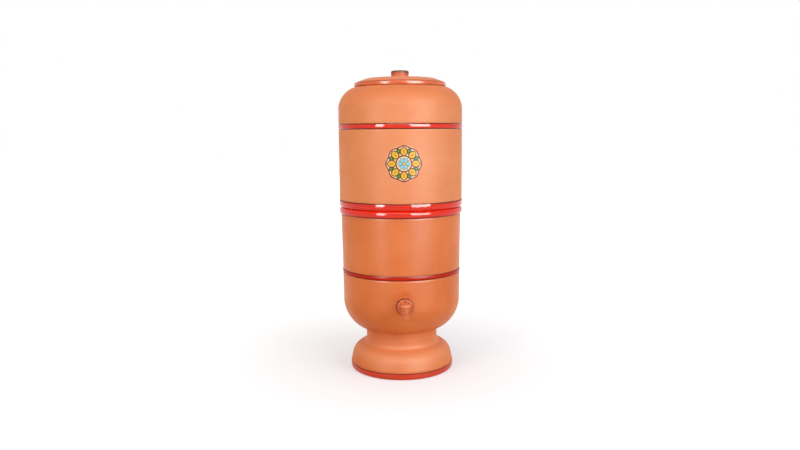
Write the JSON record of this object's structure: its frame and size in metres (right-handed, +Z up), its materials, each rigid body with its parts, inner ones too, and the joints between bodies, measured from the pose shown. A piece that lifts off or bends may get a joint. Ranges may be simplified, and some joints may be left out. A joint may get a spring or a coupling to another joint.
{
  "type": "water filter",
  "caption": "Two-chamber clay water filter with a candle, a lid with a round knob, a pedestal foot and a small tap at the front.",
  "frame": {"origin": "centre of the ring that the pedestal foot stands on, on the surface that it stands on", "axes": "+Z up along the axis of both chambers; the tap and the label face -Y; +X is to the right seen from the front"},
  "size_m": [0.2178, 0.2394, 0.525],
  "materials": {
    "clay": "fired terracotta, semi-matt, burnished, with red enamelled beads",
    "printed_label": "satin printed film",
    "candle_ceramic": "porous white ceramic, matt",
    "carbon": "granular carbon",
    "white_plastic": "moulded, fine satin",
    "blue_float": "closed-cell foam float",
    "tap_plastic": "moulded terracotta colour, satin gloss",
    "plug_plastic": "acetal, satin",
    "rubber": "dark brown-black rubber",
    "steel": "stainless steel"
  },
  "bodies": {
    "lower": {"lower_chamber": "clay", "pedestal_foot": "clay", "tap_body": "tap_plastic", "tap_cap_ring": "tap_plastic", "tap_front_gasket": "rubber", "tap_back_gasket": "rubber", "tap_back_nut": "tap_plastic"},
    "upper": {"upper_chamber": "clay", "front_label": "printed_label", "candle_base": "white_plastic", "candle_shell": "candle_ceramic", "candle_carbon": "carbon", "candle_gasket": "rubber", "candle_washer": "white_plastic", "candle_wing_nut": "white_plastic", "float_holder": "white_plastic", "float_pivot_pin": "steel"},
    "lid": {"lid": "clay"},
    "float": {"float_arm": "white_plastic", "float_body": "blue_float", "float_pad": "rubber"},
    "tap_turn": {"tap_plug": "plug_plastic", "tap_plug_seals": "rubber", "tap_handle": "tap_plastic", "tap_handle_screw": "steel"}
  },
  "joints": [
    {"name": "upper_lift", "type": "slide", "parent": "lower", "child": "upper", "axis": [0, 0, 1], "range_m": [0, 0.14]},
    {"name": "lid_lift", "type": "slide", "parent": "upper", "child": "lid", "axis": [0, 0, 1], "range_m": [0, 0.08]},
    {"name": "float_swing", "type": "hinge", "parent": "upper", "child": "float", "pos_m": [0.015, 0, 0.239], "axis": [0, 1, 0], "range_deg": [0, 24]},
    {"name": "tap_open", "type": "hinge", "parent": "lower", "child": "tap_turn", "pos_m": [0, -0.12233, 0.132], "axis": [0, 0, 1], "range_deg": [0, 90]}
  ]
}
